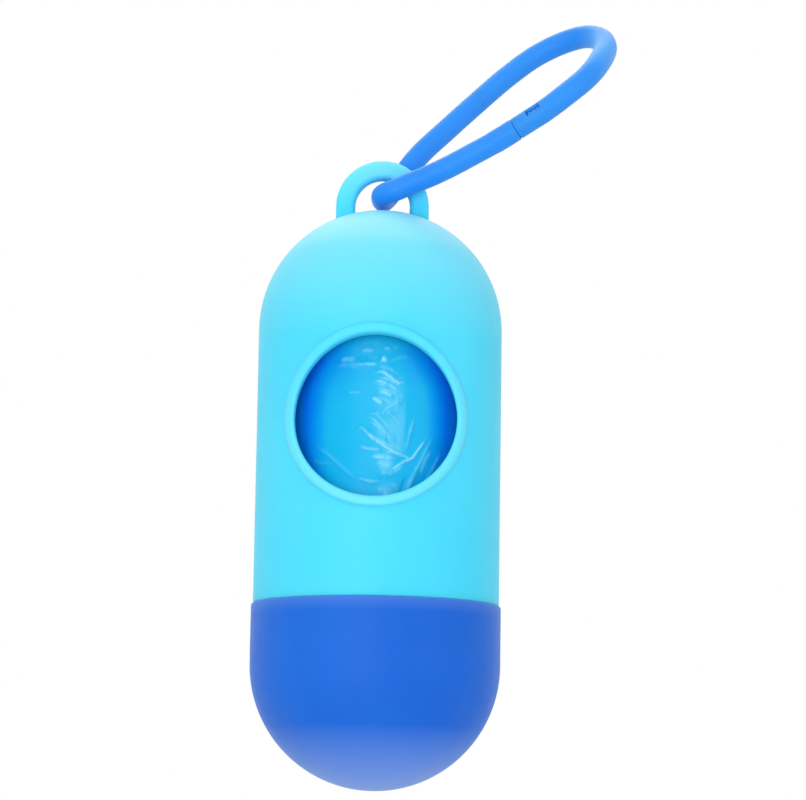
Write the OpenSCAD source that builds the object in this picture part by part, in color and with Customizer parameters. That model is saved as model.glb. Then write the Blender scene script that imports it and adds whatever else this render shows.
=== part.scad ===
// Capsule dispenser for rolls of dog waste bags, hung from a leash by a snap strap.
// Millimetres. +Z runs up the capsule's axis and the dispensing opening faces -Y.
// The origin is where the leash bears, inside the strap's far bend.

/* [Housing] */
// Outside diameter of the housing's tube and of its round top
housing_d = 38; // [34:0.5:44]
// Length of the straight tube, from the round top's centre down to the cap's rim
tube_h = 43; // [40:0.5:60]
// Wall of the tube and of the round top
housing_wall = 1.8; // [1.2:0.1:2.4]

/* [Dispensing opening] */
// Diameter of the opening that the bags are pulled through
opening_d = 24.6; // [18:0.2:27]
// Width of the raised ring round the opening
ring_w = 1.7; // [1:0.1:2.5]
// How far the ring stands out of the tube
ring_h = 0.8; // [0.4:0.1:1.6]
// Depth of the opening's centre below the round top's centre
opening_drop = 15.8; // [15:0.2:22]

/* [Hanging tab] */
// Inside diameter of the tab's eye
eye_d = 8.6; // [7.6:0.1:11]
// Width of the tab's band round the eye
tab_band = 3; // [2:0.1:4]
// Thickness of the tab, front to back
tab_t = 3; // [2:0.1:4]
// Radius of the tab's rounded edges
tab_edge = 0.9; // [0.3:0.1:0.9]
// Height of the eye's centre above the top of the housing
eye_rise = 0.9; // [0.5:0.1:2]

/* [Neck and cap] */
// Length of the neck that the cap closes over
neck_h = 7.6; // [5:0.2:9]
// Wall of the neck
neck_wall = 0.9; // [0.7:0.1:1.2]
// Radial clearance between the neck and the cap
cap_fit = 0.1; // [0.05:0.01:0.1]
// How far the cap's rim stands out past the tube
cap_step = 0.3; // [0:0.05:1]
// Length of the cap's straight skirt, from its rim to its round end's centre
skirt_h = 9.1; // [8:0.1:14]
// Wall of the cap's round end
cap_wall = 1.5; // [1.2:0.1:2.2]
// Chamfer on the outside of the cap's rim
rim_chamfer = 0.25; // [0.1:0.05:0.4]

/* [Bag roll] */
// Gap between a full roll and the wall of the tube
roll_room = 1.8; // [1.2:0.1:3.5]
// Width of the folded film, which is the roll's length
roll_l = 55; // [50:0.5:56]
// Inside diameter of the card core
core_d = 13.4; // [10:0.2:18]
// Wall of the card core
core_wall = 0.8; // [0.5:0.1:1.2]
// Bags on a full roll
bag_count = 15; // [8:1:20]
// Slack between one bag's film and the next
film_slack = 0.03; // [0.02:0.01:0.04]
// Thickness of the leading bag's last, unfinished turn
lead_t = 0.25; // [0.2:0.05:0.4]
// How far round the roll that last turn goes, in degrees
lead_angle = 290; // [90:10:340]
// Gap between the roll and the round seat that it stands in
roll_gap = 0.3; // [0.2:0.05:0.5]

/* [Strap] */
// Diameter of the strap
strap_d = 3.5; // [2.8:0.1:3.6]
// Diameter of the strap at its far bend, where the leash bears
bend_d = 3.7; // [3.4:0.1:4.2]
// Gap between the strap and the top of the housing, under the eye
strap_rest = 0.55; // [0.4:0.05:0.9]
// Gap between the strap's legs and the faces of the tab
leg_gap = 0.4; // [0.3:0.1:0.8]
// Radius of the strap's centreline where it turns out of the eye
turn_r = 2.4; // [2.1:0.1:2.8]

/* [Snap closure] */
// Diameter of the socket's bore
socket_d = 2.4; // [2:0.1:2.5]
// Depth of the socket's bore
socket_depth = 6.6; // [6:0.1:7.2]
// Length of the plug's tongue
tongue_l = 6; // [5.4:0.1:6.2]
// Diameter of the tongue's shank
shank_d = 1.7; // [1.4:0.1:1.8]
// Radial clearance of the tongue's head in the bore
head_fit = 0.06; // [0.04:0.01:0.1]
// Length of the latch window in the socket's wall
window_l = 2.4; // [1.8:0.1:2.6]
// Width of the latch window, round the strap
window_w = 1.8; // [1.4:0.1:2]
// Distance from the socket's mouth to the latch window
window_in = 2.6; // [2.2:0.1:3]
// Turn of the latch window round the strap, from the loop's inner side towards the front
window_turn = 35; // [0:5:60]
// Gap between the closed ends of the strap
seam = 0.05; // [0.03:0.01:0.1]

/* [Hidden] */
$fn = 96;
bag_names = [for (i = [1:bag_count]) str("bag_", i < 10 ? "0" : "", i)];

over = 1; // how far a cut runs past the face that it opens

housing_r = housing_d / 2;
bore_r = housing_r - housing_wall;
neck_r = bore_r + neck_wall;
skirt_bore_r = neck_r + cap_fit;
cap_r = housing_r + cap_step;
cap_inner_r = cap_r - cap_wall;
cap_centre_z = -tube_h - skirt_h;

core_r = core_d / 2 + core_wall;
roll_r = bore_r - roll_room;
film_r = roll_r - lead_t;
film_step = (film_r - core_r) / bag_count;
// The roll's lower edge meets the round seat at the depth where the seat is as wide as the roll.
roll_z = cap_centre_z - sqrt(pow(cap_inner_r - roll_gap, 2) - pow(roll_r, 2));

eye_z = housing_r + eye_rise;
strap_r = strap_d / 2;
bar_z = housing_r + strap_rest + strap_r;
leg_y = tab_t / 2 + leg_gap + strap_r;
bar_half = leg_y - turn_r;
bar_d = strap_d + 0.1;
bar_l = 1.8 * bar_half; // within the straight part of the line
tongue_tip = 0.4; // the chamfer that leads the tongue in

// The strap's route, from the middle of its bar in the eye. Its first leg comes forward and runs
// out through the closure, and its second leg comes back behind it.
front_angle = 15; // of the front leg above level, where it leaves the eye
back_angle = 56; // of the back leg above level, where it leaves the eye
turn_angle = 80; // that the strap turns through on each side of the tab
turn_steps = 5;
front_leg = [[4.3, -4, 1.5], [6.9, -4.5, 2.45], [10.1, -5.3, 3.8], [14, -6.4, 5.7]];
joint_at = [20.8, -8, 9.45]; // the middle of the closure's seam
joint_way = unit([1, -0.22, 0.615]);
far_bend = [
    [28.9, -9, 15.1],
    [31.9, -7.4, 18.1],
    [34, -4.4, 21.5],
    [34.9, -0.6, 24.7],
    [34.2, 2.6, 26.9],
    [31.9, 5.6, 28.1],
    [28.5, 7.8, 27.7],
    [24.3, 8.7, 25.8],
    [19.6, 8.4, 22.2],
    [14.9, 7.3, 17.7],
];
back_leg = [[10.2, 6, 12.95], [5.3, 4.7, 7.8]];
leash_seat = [33, 0, 24]; // inside the far bend

straight_run = 2.3; // spacing of the route's points along the closure
route_steps = 5; // rings between two points of the route
strap_sides = 16;

function unit(v) = v / norm(v);

// A point of the quarter turn beside the tab. side is -1 at the front and 1 at the back.
function turn_point(side, rise, angle) =
    let (y = bar_half + turn_r * sin(angle), out = turn_r * (1 - cos(angle)))
    [out * cos(rise), side * y, out * sin(rise)];

function turn(side, rise) =
    [for (k = [0:turn_steps]) turn_point(side, rise, turn_angle * k / turn_steps)];

function backwards(list) = [for (i = [len(list) - 1:-1:0]) list[i]];

function along_joint(distance) = joint_at + distance * joint_way;

// Slope of the route at point i, from the points before and after it.
function slope(p, i) =
    i == 0 ? unit(p[1] - p[0]) :
    i == len(p) - 1 ? unit(p[i] - p[i - 1]) :
    let (a = p[i] - p[i - 1], b = p[i + 1] - p[i], la = norm(a), lb = norm(b))
    (a * lb / la + b * la / lb) / (la + lb);

function hermite(p, i, t) =
    let (h = norm(p[i + 1] - p[i]), t2 = t * t, t3 = t2 * t)
    (2 * t3 - 3 * t2 + 1) * p[i] + (t3 - 2 * t2 + t) * h * slope(p, i)
    + (3 * t2 - 2 * t3) * p[i + 1] + (t3 - t2) * h * slope(p, i + 1);

// A smooth line through the points, with its first and last slopes taken from lead-in points.
function smooth(p) = concat(
    [for (i = [1:len(p) - 3], k = [0:route_steps - 1]) hermite(p, i, k / route_steps)],
    [p[len(p) - 2]]
);

// Direction of the line at each of its points. At both ends it is the route's own slope, so two
// pieces that meet there end on one plane.
function headings(points, line) = [
    for (i = [0:len(line) - 1])
        i == 0 ? unit(slope(points, 1)) :
        i == len(line) - 1 ? unit(slope(points, len(points) - 2)) :
        unit(line[i + 1] - line[i - 1])
];

function square_to(v, way) = unit(v - (v * way) * way);

// Carries one side direction along the line without twisting it.
function side_ways(ways) = [
    for (i = 0, v = square_to([0, 0, 1], ways[0]);
         i < len(ways);
         i = i + 1, v = i < len(ways) ? square_to(v, ways[i]) : v) v
];

function ring_count(points) = route_steps * (len(points) - 3) + 1;

// A round tube along a route, with its own radius at each ring.
module tube(points, radii) {
    line = smooth(points);
    ways = headings(points, line);
    sides = side_ways(ways);
    rings = ring_count(points);
    skin = [
        for (i = [0:rings - 1], k = [0:strap_sides - 1])
            let (a = 360 * k / strap_sides, u = sides[i], w = cross(ways[i], u))
            line[i] + radii[i] * (cos(a) * u + sin(a) * w)
    ];
    walls = [
        for (i = [0:rings - 2], k = [0:strap_sides - 1])
            let (a = i * strap_sides + k, b = i * strap_sides + (k + 1) % strap_sides)
            [a, a + strap_sides, b + strap_sides, b]
    ];
    first = [for (k = [0:strap_sides - 1]) k];
    last = [for (k = [strap_sides - 1:-1:0]) (rings - 1) * strap_sides + k];
    polyhedron(skin, concat([first], walls, [last]), convexity = 6);
}

plug_points = concat(
    [for (k = [-1:1]) along_joint(-seam / 2 - straight_run * k)],
    backwards(front_leg),
    backwards(turn(-1, front_angle)),
    turn(1, back_angle),
    backwards(back_leg),
    [far_bend[len(far_bend) - 1], far_bend[len(far_bend) - 2]]
);

socket_points = concat(
    [for (k = [-1:3]) along_joint(seam / 2 + straight_run * k)],
    far_bend,
    [back_leg[0]]
);

// Moves what is drawn about the capsule's axis so that the leash's seat is the origin.
module hung() translate([0, 0, -bar_z] - leash_seat) children();

module about_bar() hung() translate([0, 0, bar_z]) children();

// Turns +Z to the closure's direction, with +X to the inner side of the loop.
module at_joint() {
    way = joint_way;
    inner = square_to([0, 0, 1], way);
    across = cross(way, inner);
    about_bar()
    multmatrix([
        [inner[0], across[0], way[0], joint_at[0]],
        [inner[1], across[1], way[1], joint_at[1]],
        [inner[2], across[2], way[2], joint_at[2]],
    ])
    children();
}

// Half outline of a tube that ends in a round end: z_to is the tube's far end.
module capsule_outline(r, z_from, z_to) {
    translate([0, min(z_from, z_to)]) square([r, abs(z_to - z_from)]);
    translate([0, z_from])
    intersection() {
        circle(r);
        translate([0, z_to < z_from ? 0 : -r]) square([r, r]);
    }
}

// Outline of the tab's band, from its inner edge out, with rounded edges.
function rounded_band(w, t, e) = [
    for (c = [[w - e, t / 2 - e, 0], [e, t / 2 - e, 90], [e, e - t / 2, 180], [w - e, e - t / 2, 270]],
         k = [0:4])
        [c[0] + e * cos(c[2] + 22.5 * k), c[1] + e * sin(c[2] + 22.5 * k)]
];

module tab() {
    band = rounded_band(tab_band, tab_t, tab_edge);
    leg_h = eye_z;
    translate([0, 0, eye_z])
    rotate([90, 0, 0])
    rotate_extrude(angle = 180)
    translate([eye_d / 2, 0])
    polygon(band);
    for (side = [0, 1])
        mirror([side, 0, 0])
        translate([eye_d / 2, 0, eye_z - leg_h])
        linear_extrude(leg_h)
        polygon(band);
}

module opening_ring() {
    intersection() {
        translate([0, 0, -opening_drop])
        rotate([90, 0, 0])
        cylinder(r = opening_d / 2 + ring_w, h = housing_d);
        translate([0, 0, -tube_h])
        cylinder(r = housing_r + ring_h, h = tube_h);
    }
}

module housing() color("deepskyblue") hung() {
    difference() {
        union() {
            rotate_extrude() capsule_outline(housing_r, 0, -tube_h);
            translate([0, 0, -tube_h - neck_h]) cylinder(r = neck_r, h = neck_h + over);
            opening_ring();
            tab();
        }
        rotate_extrude() capsule_outline(bore_r, 0, -tube_h - neck_h - over);
        translate([0, 0, -opening_drop])
        rotate([90, 0, 0])
        cylinder(r = opening_d / 2, h = housing_d);
    }
}

module end_cap() color("royalblue") hung() {
    rotate_extrude()
    difference() {
        capsule_outline(cap_r, cap_centre_z, -tube_h);
        capsule_outline(cap_inner_r, cap_centre_z, -tube_h + over);
        translate([0, -tube_h - neck_h - roll_gap]) square([skirt_bore_r, neck_h + roll_gap + over]);
        polygon([
            [cap_r - rim_chamfer, -tube_h],
            [cap_r + over, -tube_h],
            [cap_r + over, -tube_h - over],
            [cap_r, -tube_h - rim_chamfer],
        ]);
    }
}

// The tongue behind the socket's window: its wide head is the catch.
module tongue() {
    shank_r = shank_d / 2;
    head_r = socket_d / 2 - head_fit;
    catch_z = window_in + window_l / 4;
    rotate_extrude()
    polygon([
        [0, -over],
        [shank_r, -over],
        [shank_r, catch_z],
        [head_r, catch_z],
        [head_r, catch_z + window_l / 4],
        [shank_r, window_in + window_l],
        [shank_r, tongue_l - tongue_tip],
        [shank_r - tongue_tip, tongue_l],
        [0, tongue_l],
    ]);
}

module strap_plug_side() color("dodgerblue") {
    about_bar() {
        tube(plug_points, [for (i = [1:ring_count(plug_points)]) strap_r]);
        // The bar that turns in the eye, a little stouter than the strap.
        rotate([90, 0, 0]) cylinder(d = bar_d, h = bar_l, center = true);
    }
    at_joint() translate([0, 0, -seam / 2]) tongue();
}

module strap_socket_side() color("dodgerblue") {
    last = ring_count(socket_points) - 1;
    widening = [for (i = [0:last]) pow(sin(180 * i / last), 2)];
    radii = [for (s = widening) strap_r + (bend_d - strap_d) / 2 * s];
    difference() {
        about_bar() tube(socket_points, radii);
        at_joint() {
            translate([0, 0, -over]) cylinder(d = socket_d, h = socket_depth + over);
            rotate([0, 0, window_turn])
            translate([0, -window_w / 2, window_in])
            cube([strap_d, window_w, window_l]);
        }
    }
}

module roll_core() color("tan") hung() translate([0, 0, roll_z]) {
    difference() {
        cylinder(r = core_r, h = roll_l);
        translate([0, 0, -over]) cylinder(d = core_d, h = roll_l + 2 * over);
    }
}

// One bag: its turns of folded film make a sleeve round the bag before it.
module bag(i) color("lightskyblue") hung() translate([0, 0, roll_z]) {
    inner_r = core_r + film_step * (i - 1) + film_slack;
    outer_r = core_r + film_step * i;
    difference() {
        cylinder(r = outer_r, h = roll_l);
        translate([0, 0, -over]) cylinder(r = inner_r, h = roll_l + 2 * over);
    }
    if (i == bag_count)
        rotate_extrude(angle = lead_angle)
        translate([(inner_r + outer_r) / 2, 0])
        square([film_r + lead_t - (inner_r + outer_r) / 2, roll_l]);
}

housing();
end_cap();
strap_plug_side();
strap_socket_side();
roll_core();
for (i = [1:bag_count])
    bag(i);
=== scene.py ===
# %% [markdown]
# # A hanging capsule for rolls of waste bags
# The capsule is a small two-tone moulding: a sky-blue housing with a ringed window, and a deep-blue
# cap that closes the bottom. A snap strap carries it from a leash. This lesson takes the packed
# construction as a frame, and makes each visible piece over it with Blender's mesh operators.

# %% Load the frame
import math

import bmesh
import bpy
from mathutils import Matrix, Vector, noise


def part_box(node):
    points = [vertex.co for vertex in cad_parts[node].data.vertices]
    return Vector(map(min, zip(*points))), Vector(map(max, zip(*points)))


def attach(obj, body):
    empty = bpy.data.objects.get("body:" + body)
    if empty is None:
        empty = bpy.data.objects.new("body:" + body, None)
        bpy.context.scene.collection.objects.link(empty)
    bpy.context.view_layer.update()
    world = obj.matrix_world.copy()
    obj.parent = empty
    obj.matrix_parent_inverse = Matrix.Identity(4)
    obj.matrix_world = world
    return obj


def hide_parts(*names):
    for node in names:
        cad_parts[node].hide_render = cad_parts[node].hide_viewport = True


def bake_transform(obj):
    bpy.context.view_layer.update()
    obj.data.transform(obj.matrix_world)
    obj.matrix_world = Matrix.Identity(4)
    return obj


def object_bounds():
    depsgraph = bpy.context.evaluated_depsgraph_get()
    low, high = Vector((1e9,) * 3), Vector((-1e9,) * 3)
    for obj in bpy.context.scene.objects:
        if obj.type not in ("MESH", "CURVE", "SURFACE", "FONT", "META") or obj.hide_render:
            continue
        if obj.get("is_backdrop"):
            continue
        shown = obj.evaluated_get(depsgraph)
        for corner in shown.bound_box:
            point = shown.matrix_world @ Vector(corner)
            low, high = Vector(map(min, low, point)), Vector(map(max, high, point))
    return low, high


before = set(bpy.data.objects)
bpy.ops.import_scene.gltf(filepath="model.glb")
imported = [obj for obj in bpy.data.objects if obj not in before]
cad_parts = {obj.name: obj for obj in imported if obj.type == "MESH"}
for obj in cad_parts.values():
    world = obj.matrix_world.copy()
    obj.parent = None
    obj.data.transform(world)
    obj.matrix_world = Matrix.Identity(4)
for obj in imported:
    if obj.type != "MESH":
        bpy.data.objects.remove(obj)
cad_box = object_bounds()

# %% [markdown]
# ## Sizes
# Every length is in metres, and most of them come from the boxes of the construction's nodes, so the
# pieces stay on the solids that they dress. `MM` lets the small sizes be written in millimetres.

# %% Sizes from the frame
MM = 0.001
housing_low, housing_high = (Vector(corner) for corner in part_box("housing"))
cap_low, cap_high = (Vector(corner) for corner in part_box("end_cap"))
bag_low, bag_high = (Vector(corner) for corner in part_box("bag_15"))

AXIS_X = (housing_low.x + housing_high.x) / 2
HOUSING_R = housing_high.y
RING_H = -housing_low.y - HOUSING_R
CAP_R = cap_high.y
RIM_Z = cap_high.z
CAP_CENTRE_Z = cap_low.z + CAP_R
NECK_END_Z = housing_low.z
TUBE_H = 43 * MM
TOP_CENTRE_Z = RIM_Z + TUBE_H
ROLL_R = bag_high.y
ROLL_LOW_Z, ROLL_TOP_Z = bag_low.z, bag_high.z
print(f"housing radius {HOUSING_R / MM:.2f} mm, cap radius {CAP_R / MM:.2f} mm, rim at {RIM_Z / MM:.2f} mm")

# %% Sizes of the moulding's details
WALL = 1.8 * MM
BORE_R = HOUSING_R - WALL
NECK_R = BORE_R + 0.9 * MM
OPENING_R = 12.3 * MM
RING_W = 1.7 * MM
OPENING_Z = TOP_CENTRE_Z - 15.8 * MM
CAP_INNER_R = CAP_R - 1.5 * MM
EYE_R = 4.3 * MM
BAND_W = 3 * MM
TAB_T = 3 * MM
EYE_Z = TOP_CENTRE_Z + 19.9 * MM
BAR_Z = TOP_CENTRE_Z + 21.3 * MM

# %% [markdown]
# ## The camera
# The camera looks up at the hanging capsule from a little under it, from almost half a metre away,
# with a long lens, so the sides stay nearly parallel. It is aimed from where it stands, then turned a
# little about its line of sight.

# %% Camera
CAMERA_AT = Vector((-17.024, -459.898, -125.311)) * MM
CAMERA_AIM = Vector((-29.303, 0, -56.089)) * MM
CAMERA_ROLL = math.radians(0.887)
CAMERA_LENS = 133.14


def looking(place, target):
    """Where a camera or a light stands, and how it is turned to look at the target."""
    return Matrix.Translation(place) @ (target - place).to_track_quat("-Z", "Y").to_matrix().to_4x4()


def add_object(name, data):
    thing = bpy.data.objects.new(name, data)
    bpy.context.collection.objects.link(thing)
    return thing


def make_camera():
    camera = add_object("camera", bpy.data.cameras.new("camera"))
    camera.data.lens = CAMERA_LENS
    camera.data.sensor_fit = "HORIZONTAL"
    camera.data.clip_start = 0.01
    camera.matrix_world = looking(CAMERA_AT, CAMERA_AIM) @ Matrix.Rotation(CAMERA_ROLL, 4, "Z")
    bpy.context.scene.camera = camera


make_camera()
print("camera stands", round((CAMERA_AIM - CAMERA_AT).length, 3), "m from what it aims at")

# %% [markdown]
# ## Helpers
# A piece is drawn in a bmesh, then handed to `finish_piece`, which merges what meets, turns the faces
# outwards, makes them smooth and gives the piece its material. Points closer than `MERGE` are one point.

# %% Turn a bmesh into a piece
MERGE = 0.002 * MM


def merge(bm, closer_than=MERGE):
    bmesh.ops.remove_doubles(bm, verts=bm.verts[:], dist=closer_than)


def finish_piece(name, bm, material, outwards=True):
    merge(bm)
    if outwards:
        bmesh.ops.recalc_face_normals(bm, faces=bm.faces[:])
    for face in bm.faces:
        face.smooth = True
    open_edges = sum(edge.is_boundary or edge.is_wire for edge in bm.edges)
    mesh = bpy.data.meshes.new(name)
    bm.to_mesh(mesh)
    bm.free()
    mesh.materials.append(material)
    piece = add_object(name, mesh)
    print(f"{name}: {len(mesh.polygons)} faces, {open_edges} open edges")
    return piece


# %% Pick things out of an operator's result
def of_kind(result, kind):
    return [item for item in result["geom"] if isinstance(item, kind)]


def edges_of(verts):
    """The edges of vertices, each once."""
    return list(dict.fromkeys(edge for vert in verts for edge in vert.link_edges))


# %% Say where a highlight is painted on a piece
def mark_painted_highlight(piece, share):
    """Keeps share(place), from 0 to 1, as the painted highlight that the moulded plastics read."""
    attribute = piece.data.attributes.new("painted_highlight", "FLOAT", "POINT")
    for vertex, entry in zip(piece.data.vertices, attribute.data):
        entry.value = min(1, max(0, share(vertex.co)))


# %% Grow a surface by one row
def grow(bm, edges, place):
    """Extrudes the edges and moves each new vertex to the point that place(vertex) gives."""
    result = bmesh.ops.extrude_edge_only(bm, edges=edges)
    for vert in of_kind(result, bmesh.types.BMVert):
        vert.co = place(vert)
    return of_kind(result, bmesh.types.BMEdge)


# %% Turn things round the capsule's axis
def turn_round(bm, geom, angle, steps, **more):
    """Spins geometry about the axis, and gives back the last row."""
    return bmesh.ops.spin(bm, geom=geom, cent=(AXIS_X, 0, 0), axis=(0, 0, 1), angle=angle, steps=steps,
                          **more)["geom_last"]


def lathe(bm, outline, steps=192):
    """outline is (radius, height) points. The turned surface is merged where it meets itself."""
    verts = [bm.verts.new((AXIS_X + radius, 0, height)) for radius, height in outline]
    edges = [bm.edges.new(pair) for pair in zip(verts, verts[1:])]
    turn_round(bm, verts + edges, math.tau, steps, use_merge=True)
    merge(bm)


# %% An arc of (radius, height) points
def arc(middle, wide, start, end, count, tall=None):
    """Points of a circle, or of an ellipse where tall differs. Angles are above level, in degrees."""
    angles = [math.radians(start + (end - start) * i / count) for i in range(count + 1)]
    return [(middle[0] + wide * math.cos(a), middle[1] + (tall or wide) * math.sin(a)) for a in angles]


# %% [markdown]
# ## Materials
# Polypropylene mouldings are satin and let a little light into the wall, so their base is a Principled
# shader with some subsurface. A slow noise stands for the flow of colour in the melt, a finer one makes
# the gloss uneven, and the finest is the grain that the mould leaves. All read Object coordinates, so
# they stay on the piece as it moves. A paler colour is painted where highlights and reflections fall.

# %% A blank material with its shader
def new_material(name):
    material = bpy.data.materials.new(name)
    material.use_nodes = True
    tree = material.node_tree
    return material, tree, tree.nodes["Principled BSDF"]


# %% Add nodes, and fill their sockets
def fill(tree, node, inputs):
    """Sets each input, by name or number, or links it where its value is another node's output."""
    for name, value in inputs.items():
        if isinstance(value, bpy.types.NodeSocket):
            tree.links.new(value, node.inputs[name])
        else:
            node.inputs[name].default_value = value


def add_node(tree, kind, inputs=None, **settings):
    node = tree.nodes.new("ShaderNode" + kind)
    for name, value in settings.items():
        setattr(node, name, value)
    fill(tree, node, inputs or {})
    return node


# %% Noise in a material
def noise_at(tree, scale, detail, stretch=(1, 1, 1)):
    """A noise on Object coordinates. scale is in features per metre."""
    place = add_node(tree, "TexCoord").outputs["Object"]
    mapped = add_node(tree, "Mapping", {"Vector": place, "Scale": stretch}).outputs["Vector"]
    return add_node(tree, "TexNoise", {"Vector": mapped, "Scale": scale, "Detail": detail}).outputs["Fac"]


# %% Read an attribute of the piece
def from_piece(tree, name):
    return add_node(tree, "Attribute", attribute_name=name).outputs["Fac"]


# %% Blend two colours by a mask
def blend_colours(tree, mask, low, high, from_value=0.0, to_value=1.0):
    """low and high are colours, or the outputs that make them."""
    share = add_node(tree, "MapRange", {"Value": mask, "From Min": from_value, "From Max": to_value})
    low, high = (c if isinstance(c, bpy.types.NodeSocket) else (*c, 1) for c in (low, high))
    return add_node(tree, "Mix", {0: share.outputs["Result"], 6: low, 7: high}, data_type="RGBA").outputs[2]


# %% Bump
def add_bump(tree, shader, height, strength, distance):
    bump = add_node(tree, "Bump", {"Height": height, "Strength": strength, "Distance": distance})
    fill(tree, shader, {"Normal": bump.outputs["Normal"]})


# %% Satin polypropylene
FLOW_SCALE, GLOSS_SCALE, GRAIN_SCALE = 55, 400, 5200
GRAIN_STRENGTH, GRAIN_DEPTH = 0.06, 0.05 * MM


def moulded_plastic(name, low, high, painted_highlight, subsurface, roughness, sheen):
    """low and high are the ends of the flow's colour; the third is the paler colour of painted highlights and
    reflections.
    """
    material, tree, shader = new_material(name)
    flow = noise_at(tree, FLOW_SCALE, detail=3, stretch=(1, 1, 0.4))
    colour = blend_colours(tree, flow, low, high, from_value=0.35, to_value=0.65)
    gloss = add_node(tree, "MapRange", {
        "Value": noise_at(tree, GLOSS_SCALE, detail=4), "From Min": 0.3, "From Max": 0.7,
        "To Min": roughness - 0.04, "To Max": roughness + 0.05})
    add_bump(tree, shader, noise_at(tree, GRAIN_SCALE, detail=2), GRAIN_STRENGTH, GRAIN_DEPTH)
    fill(tree, shader, {
        "Base Color": blend_colours(tree, from_piece(tree, "painted_highlight"), colour, painted_highlight),
        "Roughness": gloss.outputs["Result"],
        "Subsurface Weight": subsurface, "Subsurface Radius": (0.4, 1, 1.2), "Subsurface Scale": 2.5 * MM,
        "Specular IOR Level": 0.18,
        "Sheen Weight": sheen, "Sheen Tint": (0.55, 0.85, 1, 1), "Sheen Roughness": 0.45})
    return material


# The third colour of each moulding is its painted highlight.
sky_plastic = moulded_plastic(
    "sky_moulding", low=(0.058, 0.635, 0.900), high=(0.076, 0.665, 0.920), painted_highlight=(0.230, 0.730, 0.920),
    subsurface=0.45, roughness=0.46, sheen=0.04)
deep_blue_plastic = moulded_plastic(
    "deep_blue_moulding", low=(0.002, 0.112, 0.600), high=(0.005, 0.132, 0.640),
    painted_highlight=(0.170, 0.310, 0.760), subsurface=0.2, roughness=0.50, sheen=0.14)
strap_plastic = moulded_plastic(
    "strap_moulding", low=(0.014, 0.235, 0.780), high=(0.026, 0.265, 0.820), painted_highlight=(0.130, 0.440, 0.870),
    subsurface=0.2, roughness=0.44, sheen=0.16)
print("mouldings:", [m.name for m in (sky_plastic, deep_blue_plastic, strap_plastic)])

# %% [markdown]
# Film looks different by where it is seen. At the roll's ends its edges make fine rings, which a wave
# texture draws about the roll's axis. On the outside it is a glossy sheet, paler along its creases: partly
# whitened film and partly painted highlight. Shade is painted on it too. The tube in the middle is plain
# board.

# %% Blue film, seen edge on in a roll
def rolled_film():
    material, tree, shader = new_material("rolled_film")
    place = add_node(tree, "TexCoord").outputs["Object"]
    centred = add_node(tree, "Mapping", {"Vector": place, "Location": (-AXIS_X, 0, 0)})
    rings = add_node(tree, "TexWave", {
        "Vector": centred.outputs["Vector"], "Scale": 900, "Distortion": 1.5},
        wave_type="RINGS", rings_direction="Z").outputs["Fac"]
    add_bump(tree, shader, rings, 0.5, 0.1 * MM)
    fill(tree, shader, {
        "Base Color": blend_colours(tree, rings, (0.005, 0.090, 0.520), (0.030, 0.330, 0.860)),
        "Roughness": 0.3, "Subsurface Weight": 0.1, "Subsurface Scale": 0.5 * MM})
    return material


# %% Film on the outside of the roll
def outer_film():
    """Its attributes say where shade is painted, and where crease whitening and painted highlights make it
    paler.
    """
    material, tree, shader = new_material("outer_film")
    # Painted shade: the film turns a darker blue where the piece's attribute says.
    body = blend_colours(tree, from_piece(tree, "depth"), (0.003, 0.425, 0.740), (0.001, 0.210, 0.880))
    # Paler where a crease has whitened the film and where a highlight is painted.
    paler_film_colour = blend_colours(tree, from_piece(tree, "pale_and_highlight"), body, (0.36, 0.80, 0.95))
    streaks = noise_at(tree, 1300, detail=3, stretch=(1, 1, 0.45))
    add_bump(tree, shader, noise_at(tree, 900, detail=3, stretch=(1, 1, 0.3)), 0.12, 0.12 * MM)
    colour = blend_colours(tree, streaks, body, paler_film_colour, from_value=0.20, to_value=0.50)
    fill(tree, shader, {"Base Color": colour, "Roughness": 0.32, "Specular IOR Level": 0.12})
    return material


# %% Wound card
def wound_card():
    """Brown board, with fibres that lie round the tube."""
    material, tree, shader = new_material("wound_card")
    fibres = noise_at(tree, 1500, detail=4, stretch=(1, 1, 6))
    add_bump(tree, shader, fibres, 0.3, 0.05 * MM)
    colour = blend_colours(tree, fibres, (0.43, 0.30, 0.17), (0.58, 0.43, 0.27), from_value=0.3, to_value=0.7)
    fill(tree, shader, {"Base Color": colour, "Roughness": 0.85})
    return material


roll_film, outside_film, card = rolled_film(), outer_film(), wound_card()
print("roll:", [m.name for m in (roll_film, outside_film, card)])

# %% [markdown]
# ## The housing
# The housing is one moulding: tube, round top, the raised ring round the opening, the neck under the cap
# and the hanging tab. A hole cut into a finished tube leaves ragged faces that catch the light, so the
# surface is grown the other way: loops of edges start at the opening and spread until they reach a
# rectangle on the tube. From there one spin makes the rest of the tube, and its rows line up.

# %% Where points of the wall lie
SPOKES = 128
# How far the rectangle reaches from the opening's centre: round the tube, up and down
PATCH_TURN = math.radians(54.5)
PATCH_UP = TOP_CENTRE_Z - OPENING_Z
PATCH_DOWN = 17 * MM
# Rows as shares of the way from the ring to the rectangle, and from there down to the cap's rim
PATCH_ROWS = (0.3, 0.65, 1)
TUBE_ROWS = (0.2, 0.4, 0.6, 0.8, 0.98)
BACK_STEPS = 64


def on_wall(radius, turn, height):
    """turn is the angle from the front, towards +X."""
    return Vector((AXIS_X + radius * math.sin(turn), -radius * math.cos(turn), height))


def round_opening(spoke, distance, wall_r):
    """The point of a round wall that lies straight behind a circle about the opening."""
    bearing = math.tau * spoke / SPOKES
    turn = math.asin(distance * math.cos(bearing) / wall_r)
    return turn, OPENING_Z + distance * math.sin(bearing)


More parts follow.
